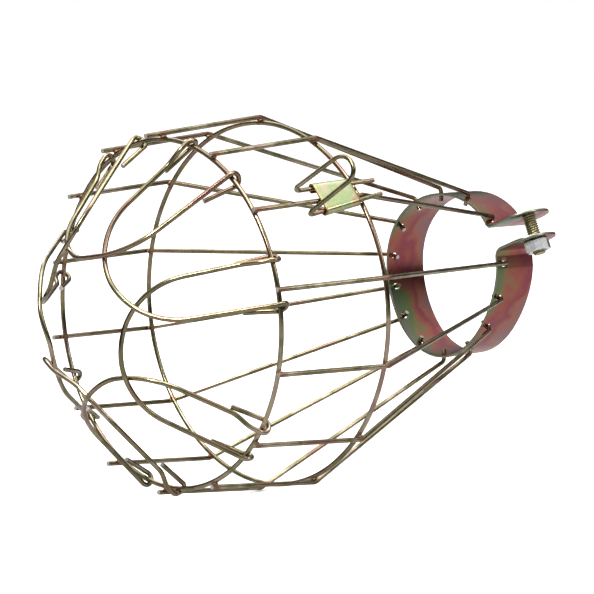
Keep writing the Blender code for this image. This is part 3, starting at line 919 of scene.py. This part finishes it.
def ear_root(side):
    """The angle where an ear's middle line meets the ring's. Side is 1 for the upper ear, else -1."""
    angle = EAR_ANGLE
    for _ in range(ROOT_ROUNDS):
        point = around(0.0, bore_radius(angle) + BAND_WALL / 2, angle) - clamp_point(0.0, 0.0, 0.0)
        height = point.dot(tangent(EAR_ANGLE + EAR_LEAN))
        angle += math.degrees((side * EAR_LEVEL - height) / bore_radius(angle))
    return angle


def ring_line():
    """Middle line from ear tip to ear tip, and the angle of each of its points or None on the ears."""
    first, last = ear_root(1.0), ear_root(-1.0) + 360.0
    angles = [first + (last - first) * step / RING_STEPS for step in range(RING_STEPS + 1)]
    ring = [around(0.0, bore_radius(angle) + BAND_WALL / 2, angle) for angle in angles]
    skip = RING_STEPS // COARSE_STEPS
    top, bottom = clamp_point(0.0, EAR_REACH, EAR_LEVEL), clamp_point(0.0, EAR_REACH, -EAR_LEVEL)
    first_bend = rounded([top, ring[0], ring[skip]], [UPPER_BEND_RADIUS], EAR_BEND_STEPS)[:-1]
    last_bend = rounded([ring[-1 - 2 * skip], ring[-1], bottom], [LOWER_BEND_RADIUS], EAR_BEND_STEPS)[1:]
    kept = list(zip(ring, angles))[skip : -2 * skip]
    return [(p, None) for p in first_bend] + kept + [(p, None) for p in last_bend]


middle_line = ring_line()
stations = [0.0]
for (before, _), (after, _) in zip(middle_line, middle_line[1:]):
    stations.append(stations[-1] + (after - before).length)
print(f"the flat blank is {stations[-1] * 1000:.1f} mm long")


# %% The flat blank's outline and holes
CORNER_STEPS, HOLE_STEPS, MM = 10, 28, 1000.0


def blank_loops():
    """Closed outlines in millimetres: length along X and the band's width along Y."""
    length, half = stations[-1], BAND_WIDTH / 2
    corner = []
    for step in range(CORNER_STEPS + 1):
        turn = math.radians(90.0 * step / CORNER_STEPS)
        corner.append((EAR_CORNER * (1.0 - math.cos(turn)), half - EAR_CORNER * (1.0 - math.sin(turn))))
    edge = corner + [(length - u, v) for u, v in reversed(corner)]
    loops = [edge + [(u, -v) for u, v in reversed(edge)]]
    stud_place = EAR_REACH - STUD_REACH
    for centre in (stud_place, length - stud_place):
        turns = [2.0 * math.pi * step / HOLE_STEPS for step in range(HOLE_STEPS)]
        radius = STUD_RADIUS + FIT_GAP
        loops.append([(centre + radius * math.cos(t), radius * math.sin(t)) for t in turns])
    radius = WIRE / 2 + SLOT_GAP
    reach = SLOT_LENGTH / 2 - radius
    marked = [(angle, u) for (_, angle), u in zip(middle_line, stations) if angle is not None]
    for rib in range(RIB_COUNT):
        wanted = pin_angle(rib)
        while wanted < marked[0][0] - PIN_SPREAD / 4:
            wanted += 360.0
        after = next((i for i in range(1, len(marked)) if marked[i][0] >= wanted), len(marked) - 1)
        below, above = marked[after - 1], marked[after]
        u = below[1] + (above[1] - below[1]) * (wanted - below[0]) / (above[0] - below[0])
        loop = []
        for end in (1.0, -1.0):
            for step in range(CORNER_STEPS + 1):
                turn = math.radians(180.0 * step / CORNER_STEPS)
                across = PIN_X + reach + end * (reach + radius * math.sin(turn))
                loop.append((u + end * radius * math.cos(turn), across))
        loops.append(loop)
    return [[(u * MM, v * MM) for u, v in loop] for loop in loops]


# %% Cut the blank and roll it
EDGE_ROUND, JOIN_REACH, CUT_REACH, CREASE = 0.00018, 0.002, 0.0005, 28.0
X_AXIS = Vector((1.0, 0.0, 0.0))


def flat_blank():
    """The blank as a mesh in millimetres, with holes, a wall and rounded edges."""
    data = bpy.data.curves.new("band_blank", "CURVE")
    data.dimensions = "2D"
    data.fill_mode = "BOTH"
    data.extrude = (BAND_WALL / 2 - EDGE_ROUND) * MM
    data.bevel_depth = EDGE_ROUND * MM
    data.offset = -EDGE_ROUND * MM
    data.bevel_resolution = 1
    for loop in blank_loops():
        spline = data.splines.new("POLY")
        spline.points.add(len(loop) - 1)
        for place, (u, v) in zip(spline.points, loop):
            place.co = (u, v, 0.0, 1.0)
        spline.use_cyclic_u = True
    holder = bpy.data.objects.new("band_blank", data)
    bpy.context.scene.collection.objects.link(holder)
    graph = bpy.context.evaluated_depsgraph_get()
    mesh = bpy.data.meshes.new_from_object(holder.evaluated_get(graph))
    bpy.data.objects.remove(holder)
    return mesh


def rolled_band():
    """Slices the blank at every station, then carries each point to the band's middle line."""
    mesh = bmesh.new()
    mesh.from_mesh(flat_blank())
    bmesh.ops.remove_doubles(mesh, verts=mesh.verts, dist=JOIN_REACH)
    for u in stations[1:-1]:
        everything = mesh.verts[:] + mesh.edges[:] + mesh.faces[:]
        place = X_AXIS * (u * MM)
        bmesh.ops.bisect_plane(mesh, geom=everything, dist=CUT_REACH, plane_co=place, plane_no=X_AXIS)
    points = [point for point, _ in middle_line]
    count = len(points)
    ways = [(points[min(i + 1, count - 1)] - points[max(i - 1, 0)]).normalized() for i in range(count)]
    where = 0
    edge_level = (BAND_WALL / 2 - EDGE_ROUND / 3) * MM
    edge = mesh.verts.layers.float.new("sheet_edge")
    for vertex in sorted(mesh.verts, key=lambda vertex: vertex.co.x):
        u = vertex.co.x / MM
        while where < count - 2 and u > stations[where + 1]:
            where += 1
        share = min(max((u - stations[where]) / (stations[where + 1] - stations[where]), 0.0), 1.0)
        way = ways[where].lerp(ways[where + 1], share).normalized()
        outward = way.cross(X_AXIS)
        vertex[edge] = 1.0 if abs(vertex.co.z) < edge_level else 0.0
        place = points[where].lerp(points[where + 1], share)
        vertex.co = place + X_AXIS * (vertex.co.y / MM) + outward * (vertex.co.z / MM)
    bmesh.ops.recalc_face_normals(mesh, faces=mesh.faces)
    loose = sum(not e.is_manifold for e in mesh.edges)
    made = bpy.data.meshes.new("clamp_band_sheet")
    mesh.to_mesh(made)
    mesh.free()
    made.shade_smooth()
    made.set_sharp_from_angle(angle=math.radians(CREASE))
    print("band faces:", len(made.polygons), "open edges:", loose)
    return made


add_piece("clamp_band_sheet", rolled_band(), BAND_FINISH, "root", "band_zinc", "clamp_band")


# %% [markdown]
# ## The stud and the nut
#
# The screw is an M6 stud, so its thread climbs one millimetre a turn. A thread is a height field wrapped on
# a cylinder: the radius depends only on the angle and the distance along, so a plain grid with that rule
# gives a real helix that closes at both chamfered ends. The nut is a hexagon cut by two cones, which leaves
# the curved edges of a real nut.


# %% The threaded stud
def clamp_axes(height):
    outward = around(0.0, 1.0, EAR_ANGLE + EAR_LEAN)
    up = tangent(EAR_ANGLE + EAR_LEAN)
    return basis(clamp_point(0.0, STUD_REACH, height), outward.cross(up), outward, up)


def grid_mesh(name, rows, place, values=None, closed_rows=False):
    """A tube of closed rings: each row is one ring. Its ends are filled, or its last ring joins its first."""
    mesh = bmesh.new()
    layer = mesh.verts.layers.float.new("thread_root")
    rings = [[mesh.verts.new(place @ point) for point in row] for row in rows]
    if values:
        for ring, row in zip(rings, values):
            for vertex, value in zip(ring, row):
                vertex[layer] = value
    count = len(rings[0])
    following = rings[1:] + ([rings[0]] if closed_rows else [])
    for ring, after in zip(rings, following):
        for i in range(count):
            mesh.faces.new((ring[i], ring[(i + 1) % count], after[(i + 1) % count], after[i]))
    if not closed_rows:
        mesh.faces.new(rings[0])
        mesh.faces.new(rings[-1])
    bmesh.ops.recalc_face_normals(mesh, faces=mesh.faces)
    made = bpy.data.meshes.new(name)
    mesh.to_mesh(made)
    mesh.free()
    made.shade_smooth()
    return made


PITCH, THREAD_DEPTH, THREAD_SIDES, THREAD_ROWS = 0.001, 0.00058, 36, 12
END_RADIUS, THREAD_CREASE = 0.0024, 50.0


def thread_share(turns):
    """0 on the crest and 1 in the root of the thread."""
    wave = abs((turns % 1.0) * 2.0 - 1.0)
    return smooth_step(wave * 1.3 - 0.15)


def stud_mesh():
    length = 2.0 * EAR_FACE + FIT_GAP + NUT_HEIGHT + STUD_PAST_NUT
    count = round(length / PITCH * THREAD_ROWS)
    rows, roots = [], []
    for step in range(count + 1):
        depth = length * step / count
        end = min(depth, length - depth)
        row, root = [], []
        for side in range(THREAD_SIDES):
            share = thread_share(depth / PITCH + side / THREAD_SIDES)
            turn = 2.0 * math.pi * side / THREAD_SIDES
            radius = min(STUD_RADIUS - THREAD_DEPTH * share, END_RADIUS + end)
            row.append(Vector((radius * math.cos(turn), radius * math.sin(turn), -depth)))
            root.append(share)
        rows.append(row)
        roots.append(root)
    made = grid_mesh("clamp_stud_thread", rows, clamp_axes(EAR_FACE), roots)
    made.set_sharp_from_angle(angle=math.radians(THREAD_CREASE))
    return made


stud = stud_mesh()
add_piece("clamp_stud_thread", stud, STUD_FINISH, "root", "stud_zinc", "clamp_stud")
print("stud faces:", len(stud.polygons))

# %% The nut
NUT_SIDES, NUT_CHAMFER_SHARE, BORE_CHAMFER, CHAMFER_SLOPE, NUT_CREASE = 96, 0.96, 0.0004, 30.0, 14.0
NUT_PROFILE = (
    "bore_low", "bore_high", "mouth_high", "crown_high", "side_high", "side_low", "crown_low", "mouth_low",
)


def nut_mesh():
    flat = NUT_WIDTH / 2
    bore = STUD_RADIUS + FIT_GAP
    crown = flat * NUT_CHAMFER_SHARE
    rows = []
    for name in NUT_PROFILE:
        part, level = name.split("_")
        ring = []
        for side in range(NUT_SIDES):
            turn = 2.0 * math.pi * side / NUT_SIDES
            from_flat = (turn + math.pi / 6) % (math.pi / 3) - math.pi / 6
            corner = flat / math.cos(from_flat)
            drop = (corner - crown) * math.tan(math.radians(CHAMFER_SLOPE))
            radius = {"bore": bore, "mouth": bore + BORE_CHAMFER, "crown": crown, "side": corner}[part]
            inset = {"bore": BORE_CHAMFER, "mouth": 0.0, "crown": 0.0, "side": drop}[part]
            z = -inset if level == "high" else inset - NUT_HEIGHT
            ring.append(Vector((radius * math.cos(turn), radius * math.sin(turn), z)))
        rows.append(ring)
    made = grid_mesh("clamp_nut_hexagon", rows, clamp_axes(-EAR_FACE - FIT_GAP), closed_rows=True)
    made.set_sharp_from_angle(angle=math.radians(NUT_CREASE))
    return made


nut = nut_mesh()
add_piece("clamp_nut_hexagon", nut, NUT_FINISH, "nut", "nut_zinc", "clamp_nut")
print("nut faces:", len(nut.polygons))


# %% [markdown]
# ## The hanging clip
#
# A wire loop stands on one rib, for a cord or a hook to hang the lamp by. Its two legs lie along the rib
# and are held by a small plate whose edges are rolled round them. The plate is drawn as one open sheet,
# thickened, and its edges are softened. The loop is one more wire from the wire tree.


# %% Where the clip sits
def clip_place():
    middle = PLATE_START + PLATE_LENGTH / 2
    large = rib_at_hoop(CLIP_RIB, *HOOPS[0])
    small = rib_at_hoop(CLIP_RIB, *HOOPS[1])
    along = (small - large).normalized()
    side = tangent(rib_angle(CLIP_RIB)) * -1.0
    lift = PLATE_LENGTH / 2 * math.sin(math.radians(CLIP_PITCH))
    turn = Matrix.Rotation(math.radians(CLIP_YAW), 4, "Z") @ Matrix.Rotation(math.radians(CLIP_PITCH), 4, "Y")
    shifted = Matrix.Translation((middle, -CLIP_SHIFT, lift)) @ turn @ Matrix.Translation((-middle, 0.0, 0.0))
    return basis(large, along, side, along.cross(side)) @ shifted


def leg_offset(along):
    share = (along + LEG_OVERRUN) / (HAIRPIN_DISTANCE + LEG_OVERRUN)
    return (LEG_SPACING_NEAR + (LEG_SPACING_FAR - LEG_SPACING_NEAR) * share) / 2


CLIP_AXES = clip_place()
ROLL_RADIUS = CLIP_WIRE / 2 + FIT_GAP + PLATE_WALL / 2
LEG_HEIGHT = WIRE / 2 + FIT_GAP + PLATE_WALL / 2 - ROLL_RADIUS
print("clip at", tuple(round(c, 4) for c in CLIP_AXES.translation))

# %% The rolled plate
PLATE_ROWS, ROLL_STEPS, FLAT_STEPS = 14, 26, 10
PLATE_EDGE_ROUND, PLATE_CREASE = 0.00015, 50.0


def plate_mesh():
    mesh = bmesh.new()
    edge = mesh.verts.layers.float.new("sheet_edge")
    lines = []
    for row in range(PLATE_ROWS + 1):
        along = PLATE_START + PLATE_LENGTH * row / PLATE_ROWS
        half = []
        for step in range(ROLL_STEPS + 1):
            turn = math.radians(90.0 - ROLL_TURN * (ROLL_STEPS - step) / ROLL_STEPS)
            across = leg_offset(along) + ROLL_RADIUS * math.cos(turn)
            half.append(Vector((along, -across, LEG_HEIGHT + ROLL_RADIUS * math.sin(turn))))
        other = [Vector((point.x, -point.y, point.z)) for point in reversed(half)]
        flat = [half[-1].lerp(other[0], step / FLAT_STEPS) for step in range(1, FLAT_STEPS)]
        lines.append([mesh.verts.new(CLIP_AXES @ point) for point in half + flat + other])
    for line, following in zip(lines, lines[1:]):
        for i in range(len(line) - 1):
            mesh.faces.new((line[i], following[i], following[i + 1], line[i + 1]))
    for line in lines:
        line[0][edge] = line[-1][edge] = 1.0
    for vertex in lines[0] + lines[-1]:
        vertex[edge] = 1.0
    bmesh.ops.recalc_face_normals(mesh, faces=mesh.faces)
    made = bpy.data.meshes.new("clip_plate_rolled")
    mesh.to_mesh(made)
    mesh.free()
    made.shade_smooth()
    return made


plate = add_piece("clip_plate_rolled", plate_mesh(), PLATE_FINISH, "root", "plate_zinc", "clip_plate")
wall = plate.modifiers.new("wall", "SOLIDIFY")
wall.thickness, wall.offset, wall.use_even_offset = PLATE_WALL, 0.0, True
soften = plate.modifiers.new("soften", "BEVEL")
soften.width, soften.segments, soften.angle_limit = PLATE_EDGE_ROUND, 2, math.radians(PLATE_CREASE)
print("plate faces before its wall:", len(plate.data.polygons))


# %% The standing loop
LOOP_BEND_STEPS, LOOP_FULLNESS = 14, 0.98


def loop_path():
    slope = math.radians(LOOP_SLOPE)
    bend_reach = HAIRPIN_RADIUS / math.tan(slope / 2)
    corner_x = HAIRPIN_DISTANCE - HAIRPIN_RADIUS + bend_reach
    top_x = corner_x - LOOP_LENGTH * math.cos(slope)
    one_side = [
        Vector((-LEG_OVERRUN, LEG_SPACING_NEAR / 2, LEG_HEIGHT)),
        Vector((corner_x, leg_offset(corner_x), LEG_HEIGHT)),
        Vector((top_x, LOOP_WIDTH / 2, LEG_HEIGHT + LOOP_LENGTH * math.sin(slope))),
    ]
    other_side = [Vector((point.x, -point.y, point.z)) for point in reversed(one_side)]
    loop_radius = LOOP_FULLNESS * LOOP_WIDTH / 2
    radii = [HAIRPIN_RADIUS, loop_radius, loop_radius, HAIRPIN_RADIUS]
    return [CLIP_AXES @ point for point in rounded(one_side + other_side, radii, LOOP_BEND_STEPS)]


print("loop faces:", add_wire("clip_loop_wire", loop_path(), "root", "clip_loop", CLIP_WIRE))
